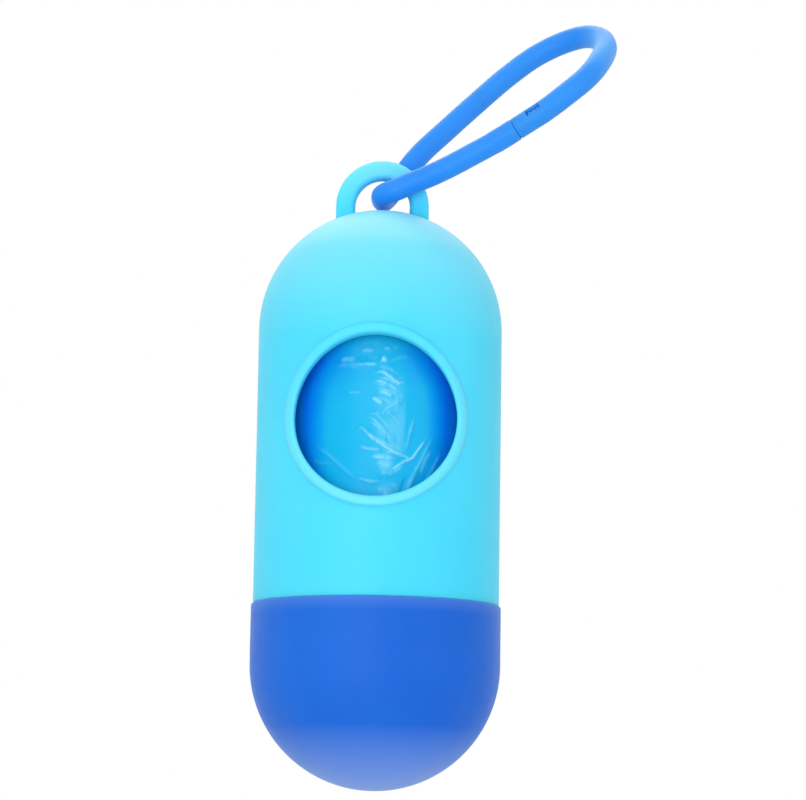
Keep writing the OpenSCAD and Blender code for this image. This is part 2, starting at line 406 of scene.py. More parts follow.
def on_patch_edge(spoke):
    """The point of the patch's rectangle on a spoke, as (turn, height)."""
    quarter, along = divmod(spoke + SPOKES // 8, SPOKES // 4)
    step = along / (SPOKES // 8) - 1
    across, up = ((1, step), (-step, 1), (-1, -step), (step, -1))[quarter % 4]
    return across * PATCH_TURN, OPENING_Z + up * (PATCH_UP if up > 0 else PATCH_DOWN)


# %% Grow the patch, then spin the rest of the tube
def wall_with_opening(bm, wall_r, first, last):
    """A tube's surface from its opening out. first and last are distances from the opening's centre.

    It gives back the opening's edges.
    """
    spoke = bm.verts.layers.int["spoke"]
    circle = bmesh.ops.create_circle(bm, segments=SPOKES, radius=first)["verts"]
    rim = edges = edges_of(circle)
    for number, vert in enumerate(sorted(circle, key=lambda v: math.atan2(v.co.y, v.co.x) % math.tau)):
        vert[spoke] = number
        vert.co = on_wall(wall_r, *round_opening(number, first, wall_r))
    edges = grow(bm, edges, lambda v: on_wall(wall_r, *round_opening(v[spoke], last, wall_r)))
    for share in PATCH_ROWS:
        def between(vert):
            start = round_opening(vert[spoke], last, wall_r)
            end = on_patch_edge(vert[spoke])
            return on_wall(wall_r, *(a + share * (b - a) for a, b in zip(start, end)))
        edges = grow(bm, edges, between)
    side = AXIS_X + wall_r * math.sin(PATCH_TURN) - 0.001 * MM
    right = [edge for edge in edges if all(vert.co.x > side for vert in edge.verts)]
    corners = list({vert for edge in right for vert in edge.verts})
    turn_round(bm, right + corners, math.tau - 2 * PATCH_TURN, BACK_STEPS)
    merge(bm)
    return rim


# %% Find an open loop at a height
def open_loop(bm, radius, height):
    """The open edges that lie on the circle of that radius and height about the capsule's axis."""
    def there(vert):
        flat = math.hypot(vert.co.x - AXIS_X, vert.co.y)
        return abs(flat - radius) < 0.01 * MM and abs(vert.co.z - height) < 0.01 * MM
    return [edge for edge in bm.edges if edge.is_boundary and all(there(v) for v in edge.verts)]


# %% Grow a loop to another radius and height
def to_ring(radius, height):
    def place(vert):
        turn = math.atan2(vert.co.x - AXIS_X, -vert.co.y)
        return on_wall(radius, turn, height)
    return place


def grow_dome(bm, edges, radius, rows=26):
    """Closes a tube with half a ball."""
    for row in range(1, rows + 1):
        rise = math.pi / 2 * row / rows
        edges = grow(bm, edges, to_ring(radius * math.cos(rise), TOP_CENTRE_Z + radius * math.sin(rise)))


# %% The ring's section, as (distance from the opening's centre, height over the wall)
# It starts at the ring's foot, and goes up its side, over its lip and in through the wall.
FOOT_R = OPENING_R + RING_W
LIP_R = 0.72 * MM
FOOT_ROUND, LEAN_IN = 0.45 * MM, 0.2 * MM
side_r = FOOT_R - LEAN_IN
ring_section = arc((side_r + FOOT_ROUND, FOOT_ROUND), FOOT_ROUND, 270, 180, 6)[:-1]
ring_section += arc((side_r - LIP_R, FOOT_ROUND), LIP_R, 0, 90, 6, tall=RING_H - FOOT_ROUND)
ring_section += arc((OPENING_R + LIP_R, RING_H - LIP_R), LIP_R, 90, 180, 6)
ring_section += [(OPENING_R, -0.5 * MM), (OPENING_R, -1.2 * MM), (OPENING_R, -WALL)]
print("ring's section:", len(ring_section), "points")


# %% The neck's section, as (radius, height)
# It rounds the tube's lower edge, crosses the shoulder that the cap closes on, and goes down the neck.
neck_section = (
    (HOUSING_R - 0.06 * MM, RIM_Z + 0.05 * MM), (HOUSING_R - 0.2 * MM, RIM_Z), (NECK_R - 0.3 * MM, RIM_Z),
    (NECK_R - 0.3 * MM, NECK_END_Z + 0.2 * MM), (NECK_R - 0.45 * MM, NECK_END_Z), (BORE_R, NECK_END_Z))
print("neck's section:", len(neck_section), "points")


# %% Make the housing's wall
def grow_housing(bm):
    spoke = bm.verts.layers.int.new("spoke")
    rim = wall_with_opening(bm, HOUSING_R, FOOT_R + 0.3 * MM, FOOT_R + 0.8 * MM)
    bottom = OPENING_Z - PATCH_DOWN
    for distance, stand_out in ring_section:
        def place(vert):
            turn, height = round_opening(vert[spoke], distance, HOUSING_R + stand_out)
            return on_wall(HOUSING_R + stand_out, turn, height)
        rim = grow(bm, rim, place)
    grow_dome(bm, open_loop(bm, HOUSING_R, TOP_CENTRE_Z), HOUSING_R)
    edges = open_loop(bm, HOUSING_R, bottom)
    for share in TUBE_ROWS:
        edges = grow(bm, edges, to_ring(HOUSING_R, bottom + share * (RIM_Z - bottom)))
    for radius, height in neck_section:
        edges = grow(bm, edges, to_ring(radius, height))
    wall_with_opening(bm, BORE_R, OPENING_R, OPENING_R + 1.2 * MM)
    grow_dome(bm, open_loop(bm, BORE_R, TOP_CENTRE_Z), BORE_R)
    grow(bm, open_loop(bm, BORE_R, bottom), to_ring(BORE_R, NECK_END_Z))
    merge(bm, 0.003 * MM)


def housing_painted_highlight(place):
    """Painted highlight, most on the round top, and a little on the ring, where it is more below the opening
    than above.
    """
    stand_out = math.hypot(place.x - AXIS_X, place.y) - HOUSING_R
    ring = (0.3 - 0.2 * (place.z - OPENING_Z) / OPENING_R) * stand_out / RING_H
    top = ((place.z - TOP_CENTRE_Z) / HOUSING_R + 0.2) / 1.2
    return max(ring, top)


bm = bmesh.new()
grow_housing(bm)
housing_wall = finish_piece("housing_wall", bm, sky_plastic)
mark_painted_highlight(housing_wall, housing_painted_highlight)
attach(housing_wall, "capsule")
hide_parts("housing")

# %% [markdown]
# ## The hanging tab
# The tab is a band of rounded section that goes up from the round top, over the eye and down again. Its
# section is a rectangle with its corners bevelled round. It is spun half a turn about the eye, and both
# ends are grown down into the round top, with a small flare where the two surfaces run together.

# %% Tab
TAB_ROUND = 0.9 * MM
# (height over the round top, flare) of each row of the tab's feet, in millimetres
TAB_FOOT = ((0.9, 0), (0.45, 0.03), (0.22, 0.1), (0.08, 0.24), (-0.02, 0.42), (-0.6, 0.42))


def top_height(x, y):
    """Height of the round top's surface over a point."""
    return TOP_CENTRE_Z + math.sqrt(HOUSING_R ** 2 - (x - AXIS_X) ** 2 - y ** 2)


def grow_tab(bm):
    corners = [bm.verts.new((AXIS_X + EYE_R + across, side * TAB_T / 2, EYE_Z))
               for across, side in ((0, -1), (BAND_W, -1), (BAND_W, 1), (0, 1))]
    bm.faces.new(corners)
    bmesh.ops.bevel(bm, geom=corners, offset=TAB_ROUND, offset_type="OFFSET", segments=6, profile=0.5,
                    affect="VERTICES", material=-1)
    section = bm.edges[:] + bm.verts[:]
    bmesh.ops.delete(bm, geom=bm.faces[:], context="FACES_ONLY")
    bmesh.ops.spin(bm, geom=section, cent=(AXIS_X, 0, EYE_Z), axis=(0, 1, 0), angle=-math.pi, steps=48)
    for side in (1, -1):
        centre = AXIS_X + side * (EYE_R + BAND_W / 2)
        edges = [edge for edge in bm.edges if edge.is_boundary and (edge.verts[0].co.x - AXIS_X) * side > 0]
        flared = 0
        for rise, flare in TAB_FOOT:
            def place(vert):
                out = Vector((vert.co.x - centre, vert.co.y))
                out += out.normalized() * (flare - flared) * MM
                return Vector((centre + out.x, out.y, top_height(centre + out.x, out.y) + rise * MM))
            edges = grow(bm, edges, place)
            flared = flare
        bmesh.ops.contextual_create(bm, geom=edges)


bm = bmesh.new()
grow_tab(bm)
hanging_tab = finish_piece("hanging_tab", bm, sky_plastic)
# Painted highlight, paler towards the top of the tab.
mark_painted_highlight(hanging_tab, lambda place: 0.45 * (place.z - EYE_Z) / EYE_R)
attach(hanging_tab, "capsule")

# %% [markdown]
# ## The neck's thread
# The cap screws on to a ridge that winds round the neck. It could be swept along a helix, but a spin that
# also climbs is a screw already: `dvec` is how far each step moves along the axis.

# %% Thread
def grow_thread(bm, root_r, crest_r, low_z, pitch, turns, steps=72):
    """A ridge that winds up the neck, closed at both ends."""
    half = 0.5 * MM
    points = [bm.verts.new((AXIS_X + radius, 0, low_z + height)) for radius, height in
              ((root_r, -half), (crest_r, -half / 3), (crest_r, half / 3), (root_r, half))]
    edges = [bm.edges.new((points[i], points[(i + 1) % 4])) for i in range(4)]
    turn_round(bm, points + edges, math.tau * turns, int(steps * turns), dvec=(0, 0, pitch / steps))
    for end in (low_z, low_z + pitch * turns):
        ends = [edge for edge in bm.edges if edge.is_boundary
                and all(abs(vert.co.z - end) < half * 1.1 for vert in edge.verts)]
        bmesh.ops.contextual_create(bm, geom=ends)


bm = bmesh.new()
grow_thread(bm, root_r=NECK_R - 0.4 * MM, crest_r=NECK_R, low_z=NECK_END_Z + 1.6 * MM,
            pitch=2.8 * MM, turns=1.5)
neck_thread = finish_piece("neck_thread", bm, sky_plastic)
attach(neck_thread, "capsule")

# %% [markdown]
# ## The end cap
# The cap is a round-ended cup with a step inside, just under the neck's end. It is the same all the way
# round, so it is turned from one outline: up the inside, over the rim and down the outside.

# %% End cap
SKIRT_BORE_R = NECK_R + 0.1 * MM
LEDGE_Z = NECK_END_Z - 0.3 * MM
MOUTH_ROUND, RIM_ROUND = 0.15 * MM, 0.3 * MM
cap_outline = arc((0, CAP_CENTRE_Z), CAP_INNER_R, -90, 0, 36)
cap_outline += [(CAP_INNER_R, LEDGE_Z - 0.2 * MM), (CAP_INNER_R + 0.1 * MM, LEDGE_Z), (SKIRT_BORE_R, LEDGE_Z)]
cap_outline += arc((SKIRT_BORE_R + MOUTH_ROUND, RIM_Z - MOUTH_ROUND), MOUTH_ROUND, 180, 90, 5)
cap_outline += arc((CAP_R - RIM_ROUND, RIM_Z - RIM_ROUND), RIM_ROUND, 90, 0, 5)
cap_outline += [(CAP_R, RIM_Z - 2 * MM), (CAP_R, RIM_Z - 5 * MM)]
cap_outline += arc((0, CAP_CENTRE_Z), CAP_R, 0, -90, 48)


def cap_painted_highlight(place):
    """Painted reflection, most on the round end, and a little in a narrow line along the rim."""
    round_end = 1.9 * ((CAP_CENTRE_Z - place.z) / CAP_R - 0.5)
    rim = 0.35 * (1 - (RIM_Z - place.z) / (0.8 * MM))
    return max(round_end, rim)


bm = bmesh.new()
lathe(bm, cap_outline)
cap_shell = finish_piece("cap_shell", bm, deep_blue_plastic)
mark_painted_highlight(cap_shell, cap_painted_highlight)
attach(cap_shell, "cap")
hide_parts("end_cap")

# %% [markdown]
# ## The strap
# The strap is one flexible moulding that leaves the eye, runs out through the closure, bends back and
# returns behind. Its route is a short list of points, smoothed by the same curve as the solids use. A
# curve object could carry the round section, but the closure needs faces to open and grow from, so a
# circle of edges is carried along the route instead and extruded at each station.

# %% The strap's route, in millimetres from the middle of its bar in the eye
STRAP_R = 1.75 * MM
BEND_R = 1.85 * MM
FRONT_RISE, BACK_RISE, TURN = math.radians(15), math.radians(56), math.radians(80)
TURN_R, BAR_HALF = 2.4, 1.25
SEAM = 0.05
STRAIGHT_RUN = 2.3
STRAP_SIDES, ROUTE_STEPS = 40, 8
front_leg = [(4.3, -4, 1.5), (6.9, -4.5, 2.45), (10.1, -5.3, 3.8), (14, -6.4, 5.7)]
joint_at = Vector((20.8, -8, 9.45))
joint_way = Vector((1, -0.22, 0.615)).normalized()
far_bend = [
    (28.9, -9, 15.1), (31.9, -7.4, 18.1), (34, -4.4, 21.5), (34.9, -0.6, 24.7), (34.2, 2.6, 26.9),
    (31.9, 5.6, 28.1), (28.5, 7.8, 27.7), (24.3, 8.7, 25.8), (19.6, 8.4, 22.2), (14.9, 7.3, 17.7),
]
back_leg = [(10.2, 6, 12.95), (5.3, 4.7, 7.8)]


def turn_points(side, rise, steps=5):
    """The quarter turn beside the tab. side is -1 in front and 1 behind."""
    points = []
    for step in range(steps + 1):
        angle = TURN * step / steps
        out, away = TURN_R * (1 - math.cos(angle)), BAR_HALF + TURN_R * math.sin(angle)
        points.append((out * math.cos(rise), side * away, out * math.sin(rise)))
    return points


def along_joint(distance):
    return joint_at + distance * joint_way


# %% A smooth line through points
def slopes(points):
    ways = [points[1] - points[0]]
    for before, here, after in zip(points, points[1:], points[2:]):
        a, b = here - before, after - here
        ways.append((a * b.length / a.length + b * a.length / b.length) / (a.length + b.length))
    ways.append(points[-1] - points[-2])
    return ways


def smooth_route(points, steps):
    """Points and directions along the route. Its first and last points only lead in and out."""
    points = [Vector(point) for point in points]
    ways = slopes(points)
    route = []
    for i in range(1, len(points) - 2):
        a, b, h = points[i], points[i + 1], (points[i + 1] - points[i]).length
        wa, wb = ways[i] * h, ways[i + 1] * h
        for t in (k / steps for k in range(steps)):
            place = (2 * t**3 - 3 * t**2 + 1) * a + (t**3 - 2 * t**2 + t) * wa
            place += (3 * t**2 - 2 * t**3) * b + (t**3 - t**2) * wb
            slope = (6 * t**2 - 6 * t) * (a - b) + (3 * t**2 - 4 * t + 1) * wa + (3 * t**2 - 2 * t) * wb
            route.append((place, slope.normalized()))
    route.append((points[-2], ways[-2].normalized()))
    return route


# %% Stations: a place, its axes and a radius
BAR_AT = Vector((AXIS_X, 0, BAR_Z))


def stations(route, radii):
    """Frames carried along the route without twist. The first one's X axis points as far up as it can."""
    side = Vector((0, 0, 1))
    frames = []
    for (place, way), radius in zip(route, radii):
        side = (side - side.dot(way) * way).normalized()
        axes = Matrix((side, way.cross(side), way)).transposed().to_4x4()
        frames.append(Matrix.Translation(BAR_AT + place * MM) @ axes @ Matrix.Scale(radius, 4))
    return frames


# %% Carry a circle along the stations
def strap_bmesh():
    """A bmesh whose vertices know their side's number and their station's number."""
    bm = bmesh.new()
    bm.verts.layers.int.new("side")
    bm.verts.layers.int.new("station")
    return bm


def number_loop(bm, edges, number):
    for vert in {vert for edge in edges for vert in edge.verts}:
        vert[bm.verts.layers.int["station"]] = number


def sweep(bm, frames):
    """A round tube. It gives back its first loop and its last one."""
    side_of = bm.verts.layers.int["side"]
    circle = bmesh.ops.create_circle(bm, segments=STRAP_SIDES, radius=1)["verts"]
    first = edges = edges_of(circle)
    for vert in circle:
        vert[side_of] = round(math.atan2(vert.co.y, vert.co.x) / math.tau * STRAP_SIDES) % STRAP_SIDES
    bmesh.ops.transform(bm, matrix=frames[0], verts=circle)
    for number, (before, here) in enumerate(zip(frames, frames[1:]), start=1):
        step = here @ before.inverted()
        edges = grow(bm, edges, lambda vert: step @ vert.co)
        number_loop(bm, edges, number)
    return first, edges


def close_crisply(bm, edges):
    """Closes an end with a flat face that doesn't shade the tube's side."""
    bmesh.ops.contextual_create(bm, geom=edges)
    for edge in edges:
        edge.smooth = False


# %% Grow a turned section out of an open end
def grow_section(bm, edges, station, section):
    """Loops at (radius, distance along the station's axis). They are numbered down from -1."""
    side_of = bm.verts.layers.int["side"]
    for number, (radius, distance) in enumerate(section, start=1):
        def place(vert):
            turn = math.tau * vert[side_of] / STRAP_SIDES
            return station @ Vector((radius * math.cos(turn), radius * math.sin(turn), distance))
        edges = grow(bm, edges, place)
        number_loop(bm, edges, -number)
    bmesh.ops.contextual_create(bm, geom=edges)


# %% [markdown]
# ## The plug's leg
# This half starts at the closure, passes through the eye and turns back behind the tab. Its end carries
# the tongue that snaps into the socket. When the closure opens, the real strap bends behind the tab; here
# the half simply ends on the back leg, where the socket's half also ends.

# %% The plug's leg
# The closure's ends are rounded in two steps, and the plug's end is stouter by COLLAR up to COLLAR_END
# millimetres from it. All but COLLAR are in millimetres.
EDGE_ROUND, EDGE_STEP = 0.16, 0.05
COLLAR, COLLAR_END, COLLAR_FADE = 0.045 * MM, 4.4, 0.5
# (radius, distance from the leg's end) of the tongue and its grooved head, in millimetres
TONGUE = [(0.92, 0), (0.85, 0.07), (0.85, 2.74), (1.08, 2.78), (1.14, 2.84),
          (1.14, 3.36), (1.02, 3.42), (1.02, 3.52), (1.14, 3.58),
          (1.14, 4.06), (1.02, 4.12), (1.02, 4.22), (1.14, 4.28),
          (1.14, 4.8), (0.85, 5.4), (0.85, 5.6), (0.78, 5.8), (0.45, 6)]
plug_points = [along_joint(-SEAM / 2 - STRAIGHT_RUN * k) for k in (-1, 0, 1)]
plug_points += front_leg[::-1] + turn_points(-1, FRONT_RISE)[::-1] + turn_points(1, BACK_RISE)
plug_points += back_leg[::-1] + [far_bend[-1], far_bend[-2]]
plug_route = smooth_route(plug_points, ROUTE_STEPS)
print("plug side:", len(plug_route), "stations")


def collared(route):
    """The leg's radius at each station, a little stouter over the first few millimetres."""
    radii, run, before = [], 0, route[0][0]
    for place, _ in route:
        run += (place - before).length
        before = place
        radii.append(STRAP_R + COLLAR * max(0, min(1, (COLLAR_END - run) / COLLAR_FADE)))
    return radii


def grow_plug_side(bm):
    end_at, way = plug_route[0]
    radii = collared(plug_route)
    route = [(end_at + way * run, way) for run in (0, EDGE_STEP, EDGE_ROUND)] + plug_route[1:]
    radii = [radii[0] - EDGE_ROUND * MM, radii[0] - EDGE_STEP * MM, radii[0]] + radii[1:]
    first, last = sweep(bm, stations(route, radii))
    close_crisply(bm, last)
    end_frame = stations(route[:1], [1])[0]
    grow_section(bm, first, end_frame, [(radius * MM, -height * MM) for radius, height in TONGUE])


bm = strap_bmesh()
grow_plug_side(bm)
strap_near_half = finish_piece("strap_plug_leg", bm, strap_plastic)
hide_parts("strap_plug_side")
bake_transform(strap_near_half)

# %% [markdown]
# ## The socket's half
# The other half has the socket, the far bend and the end behind the tab. The socket is a blind bore with
# a small window in its wall, where the plug's head shows and is pressed to let go. A cut with a solid
# would leave ragged faces, so stations are placed at the window's ends: its faces come out of the wall
# and out of the bore, and the two holes are bridged.

# %% The socket's half, with its bore and latch window
socket_points = [along_joint(SEAM / 2 + STRAIGHT_RUN * k) for k in range(-1, 3)] + far_bend + [back_leg[0]]
SOCKET_R = 1.2 * MM
# The bore's depth, and the window's ends along it, in millimetres from the mouth
SOCKET_DEPTH, WINDOW, WINDOW_EDGE = 6.6, (2.6, 5.0), 0.12
# The window's middle is on this side of the strap, and it reaches this many sides either way.
WINDOW_MIDDLE, WINDOW_REACH = 5, 4
# Distances of the straight part's stations from the mouth, in millimetres
socket_stations = [0, EDGE_STEP, EDGE_ROUND, 1.2, WINDOW[0] - WINDOW_EDGE, WINDOW[0], 3.2, 3.8, 4.4,
                   WINDOW[1], WINDOW[1] + WINDOW_EDGE]
BEND_FROM = 2 * ROUTE_STEPS + 1  # the first station past the straight part


def socket_sweep():
    """The socket half's route and the strap's radius along it, stoutest half way."""
    smooth = smooth_route(socket_points, ROUTE_STEPS)
    mouth, way = smooth[0]
    route = [(mouth + way * run, way) for run in socket_stations] + smooth[BEND_FROM:]
    last = len(smooth) - 1
    shares = [run / STRAIGHT_RUN * ROUTE_STEPS / last for run in socket_stations]
    shares += [number / last for number in range(BEND_FROM, len(smooth))]
    radii = [STRAP_R + (BEND_R - STRAP_R) * math.sin(math.pi * share) ** 2 for share in shares]
    radii[0] -= EDGE_ROUND * MM
    radii[1] -= EDGE_STEP * MM
    return route, radii


def window_faces(bm, low, high):
    """The four-sided faces of the window between two numbered stations."""
    side_of, station_of = bm.verts.layers.int["side"], bm.verts.layers.int["station"]
    half = STRAP_SIDES // 2

    def in_window(vert):
        away = (vert[side_of] - WINDOW_MIDDLE + half) % STRAP_SIDES - half
        return low <= vert[station_of] <= high and abs(away) <= WINDOW_REACH
    return [face for face in bm.faces if len(face.verts) == 4 and all(in_window(v) for v in face.verts)]


def open_window(bm):
    """Opens the wall and the bore at the window, and joins the two holes."""
    outside = window_faces(bm, *(socket_stations.index(end) for end in WINDOW))
    inside = window_faces(bm, *sorted(-socket_stations.index(end) for end in WINDOW))
    print("window faces:", len(outside), len(inside))
    rims = []
    for faces in (outside, inside):
        rims += dict.fromkeys(edge for face in faces for edge in face.edges
                              if sum(other in faces for other in edge.link_faces) == 1)
        bmesh.ops.delete(bm, geom=faces, context="FACES_KEEP_BOUNDARY")
    bmesh.ops.bridge_loops(bm, edges=[edge for edge in rims if edge.is_valid])


def grow_socket_side(bm):
    route, radii = socket_sweep()
    first, last = sweep(bm, stations(route, radii))
    close_crisply(bm, last)
    mouth_frame = stations(route[:1], [1])[0]
    bore = [(SOCKET_R + 0.1 * MM, 0), (SOCKET_R, 0.1 * MM)]
    bore += [(SOCKET_R, run * MM) for run in socket_stations[3:] + [SOCKET_DEPTH]]
    grow_section(bm, first, mouth_frame, bore)
    open_window(bm)


FAR_BEND_AT = Vector((1, 0, -3)) * MM
bm = strap_bmesh()
grow_socket_side(bm)
strap_far_half = finish_piece("strap_socket_bend", bm, strap_plastic)
# Painted highlight, palest at the far bend and fading over 9 mm.
mark_painted_highlight(strap_far_half, lambda place: 1 - (place - FAR_BEND_AT).length / (9 * MM))
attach(strap_far_half, "strap_far")
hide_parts("strap_socket_side")

# %% [markdown]
# ## The roll's inner layers
# Under the outermost bag, the solids already have the right shape, so they stay and only get their
# materials: board for the tube, and film seen edge on for the bags.

# %% Materials of the nodes that stay
wound_nodes = [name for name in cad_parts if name.startswith("bag_") or name == "roll_core"]
for name in wound_nodes:
    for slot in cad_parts[name].material_slots:
        slot.material = card if name == "roll_core" else roll_film
print("wound nodes with a new material:", len(wound_nodes))

# %% [markdown]
# ## The film on the roll
# The outermost bag is thin film, wound round the roll with creases where it was folded before winding. It
# is drawn as one sleeve: a line down the roll's side, turned once round, with more steps where the film
# shows in the opening. Each crease is then a ridge along a few points, steeper on one side than on the
# other, as a fold in film is. Two attributes go with the shape. One says how much paler the film is, where
# a crease has whitened it and where a highlight is painted. The other says where shade is painted at the
# sides and top of the opening, in three bands round the roll.

# %% The sleeve before its creases
import random

import numpy as np

FILM_T = 0.25 * MM
FINE = 0.18 * MM  # the faces' size behind the opening, up to FRONT_TURN on either side
FRONT_TURN = math.radians(52)
BACK_COLUMNS = 150


def spans(edge, low, high):
    """True for an upright edge that fills most of the stretch between two heights."""
    start, end = (vert.co.z for vert in edge.verts)
    return abs(start - end) > (high - low) / 2 and low < (start + end) / 2 < high


def grow_sleeve(bm):
    """A closed wall round the roll. Its rows and columns are finest behind the opening."""
    heights = (ROLL_LOW_Z, ROLL_LOW_Z + 0.4 * MM, OPENING_Z - 13 * MM, ROLL_TOP_Z - 0.1 * MM, ROLL_TOP_Z)
    row_sizes = (0.2 * MM, 0.55 * MM, FINE)  # the last stretch stays one row
    line = [bm.verts.new(on_wall(ROLL_R, -FRONT_TURN, height)) for height in heights]
    for pair in zip(line, line[1:]):
        bm.edges.new(pair)
    columns = round(2 * FRONT_TURN * ROLL_R / FINE)
    front_end = turn_round(bm, bm.verts[:] + bm.edges[:], 2 * FRONT_TURN, columns)
    turn_round(bm, front_end, math.tau - 2 * FRONT_TURN, BACK_COLUMNS)
    merge(bm, 0.01 * MM)
    for low, high, step in zip(heights, heights[1:], row_sizes):
        upright = [edge for edge in bm.edges if spans(edge, low, high)]
        bmesh.ops.subdivide_edges(bm, edges=upright, cuts=round((high - low) / step) - 1)
    edges = [edge for edge in bm.edges if edge.is_boundary and edge.verts[0].co.z > OPENING_Z]
    for height in (ROLL_TOP_Z, OPENING_Z, ROLL_LOW_Z):
        edges = grow(bm, edges, to_ring(ROLL_R - FILM_T, height))
    merge(bm, 0.001 * MM)
    bmesh.ops.bridge_loops(bm, edges=[edge for edge in bm.edges if edge.is_boundary])


# %% The creases that show
# Each row is a crease: its width and height in hundredths of a millimetre, how much paler it is in per cent,
# whitened film and painted highlight together, and its points (across, up) in tenths of a millimetre from the
# middle of the opening. The patches are painted highlights without a crease: the middle and the half widths
# in millimetres, and how much paler they are.
creases = [
    (26, 14, 55, (-56, 87.5), (-46, 88.5), (-30, 89)),
    (17, 12, 40, (-62, 80), (-34, 78.5), (-2, 81.5), (15, 85)),
    (36, 18, 100, (7, 92), (11, 88), (16, 85)),
    (20, 8, 30, (-24, 102), (-12, 103), (-3, 102)),
    (20, 8, 35, (9, 103), (17, 105), (22, 101)),
    (16, 6, 20, (23, 107), (33, 108)),
    (22, 8, 10, (16, 83), (34, 92), (52, 96)),
    (22, 6, 16, (-14, 96), (-4, 89), (4, 93)),
    (25, 20, 75, (-4, 69), (9, 69.5), (18, 64), (26, 57), (34, 52.5), (46, 56)),
    (25, 10, 18, (6, 75), (22, 73), (36, 66)),
    (33, 15, 48, (-5, 56), (9, 54), (20, 49), (37, 39)),
    (30, 8, 35, (2, 51), (16, 48)),
    (42, 12, 55, (2, 40), (14, 37), (26, 32)),
    (38, 12, 55, (-7, 31), (2, 25), (11, 19)),
    (28, 13, 38, (43, 32), (34, 26), (22, 18), (8, 11)),
    (22, 10, 30, (-9, 6), (1, 5), (9, 9)),
    (24, 8, 22, (28, 20), (16, 12), (4, 3)),
    (20, 13, 32, (-6, 9), (8, -1), (19, -13), (33, -30)),
    (22, 15, 42, (-14, 3), (-2, -4), (9, -15), (19, -27), (29, -37)),
    (22, 7, 20, (9, 7), (20, -3), (34, -15)),
    (20, 7, 22, (0, -16), (12, -29), (21, -38)),
    (24, 22, 68, (-30, -21), (-21, -16), (-13, -24), (-3, -34), (17, -46), (31, -54), (52, -58)),
    (24, 8, 28, (6, -31), (18, -40), (29, -47)),
    (23, 22, 60, (82, -24), (72, -35), (63, -48), (56, -59), (42, -66), (29, -76), (13, -90)),
    (28, 12, 34, (-26, -43), (-14, -48), (0, -49.5), (13, -49)),
    (42, 10, 50, (-8, -60), (12, -61), (33, -62)),
    (50, 10, 42, (2, -69), (16, -71), (26, -76)),
    (40, 8, 30, (9, -83), (19, -84)),
    (22, 10, 14, (-94, -40), (-74, -54), (-54, -72), (-36, -89), (-22, -98)),
    (24, 8, 10, (-98, -62), (-82, -69), (-64, -70)),
    (26, 13, 30, (-29, -91), (-15, -96), (-2, -99), (12, -95)),
    (20, 6, 22, (-44, 38), (-22, 38)),
    (24, 16, 20, (59, 6), (52, -16), (48, -36), (44, -54)),
    (28, 16, 20, (88, -22), (76, -46), (64, -72), (54, -98), (47, -122)),
    (30, 14, 14, (99, -46), (88, -70), (74, -98)),
    (30, 8, 12, (69, -64), (57, -86), (50, -106)),
    (50, 10, 40, (4, -106), (14, -113), (20, -124)),
    (40, 8, 24, (22, -99), (33, -108)),
    (32, -18, 0, (47, -88), (42, -104), (36, -126)),
    (20, -12, 0, (15, -90), (6, -97), (-7, -103)),
    (14, 5, 25, (2, 79), (18, 76), (30, 71)),
    (13, 6, 30, (10, 62), (20, 59), (32, 50)),
    (13, 5, 28, (9, 46), (24, 42), (37, 33)),
    (12, 5, 22, (19, 35), (30, 24), (35, 14)),
    (13, 6, 30, (13, 12), (27, 3), (38, -8)),
    (12, 6, 26, (17, 3), (28, -9), (39, -23)),
    (12, 6, 30, (4, -8), (15, -21), (27, -34)),
    (12, 6, 34, (3, -26), (15, -39), (29, -50)),
    (12, 5, 26, (20, -32), (30, -43), (42, -53)),
    (12, 5, 28, (2, -55), (16, -56), (29, -59)),
    (13, 6, 40, (5, -65), (18, -66), (29, -70)),
    (13, 5, 34, (9, -75), (17, -77), (23, -81)),
    (16, 7, 20, (42, 18), (43, -4), (39, -26), (38, -44)),
    (22, 10, 22, (66, -64), (58, -81), (51, -97), (46, -114)),
    (20, 9, 42, (1, 61), (13, 60), (26, 54), (39, 46)),
    (18, 8, 40, (-2, 45), (10, 44), (23, 39), (36, 31)),
    (20, 8, 40, (4, 32), (15, 27), (24, 20)),
    (18, 8, 34, (46, 39), (37, 33), (26, 25), (15, 20)),
    (20, 10, 42, (-10, -4), (3, -14), (15, -26), (27, -41)),
    (16, 8, 34, (9, 12), (21, 6), (32, -3), (40, -16)),
    (22, 10, 44, (-18, -19), (-7, -27), (7, -36), (22, -43), (36, -48)),
    (20, 10, 40, (9, -52), (26, -54), (46, -59), (58, -62)),
    (24, 10, 40, (44, -71), (30, -80), (18, -89)),
    (20, 8, 26, (56, -6), (51, -24), (47, -42)),
    (26, 10, 24, (84, -44), (74, -64), (66, -86)),
]
patches = [((1.6, -7.1), (1.0, 0.9), 0.40), ((2.1, -11.2), (1.5, 1.2), 0.22), ((1.6, 4.6), (1.6, 2.2), 0.12)]


# %% Fainter creases over the rest of the roll
FRONT_REACH, FRONT_DROP = 15, 14


def faint_creases(seed=5, count=70):
    """Short creases that slant across the film. The part behind the opening is left out."""
    chance = random.Random(seed)
    found = []
    while len(found) < count:
        along, up = chance.uniform(-1, 1) * math.pi * ROLL_R / MM, chance.uniform(-43, 9)
        if abs(along) < FRONT_REACH and up > -FRONT_DROP:
            continue
        lean, length = chance.uniform(-1.2, 1.2), chance.uniform(3, 9)
        points = [(along, up)]
        for _ in range(3):
            lean += chance.uniform(-0.35, 0.35)
            along, up = along + length / 3 * math.cos(lean), up + length / 3 * math.sin(lean)
            points.append((along, up))
        width, rise, whitening_and_highlight = (chance.uniform(*ends) for ends in ((0.4, 0.7), (0.08, 0.16), (0.05, 0.2)))
        found.append((points, width, rise, whitening_and_highlight))
    return found


# %% Ridges along the creases
STEEP, GENTLE = 0.7, 1.6


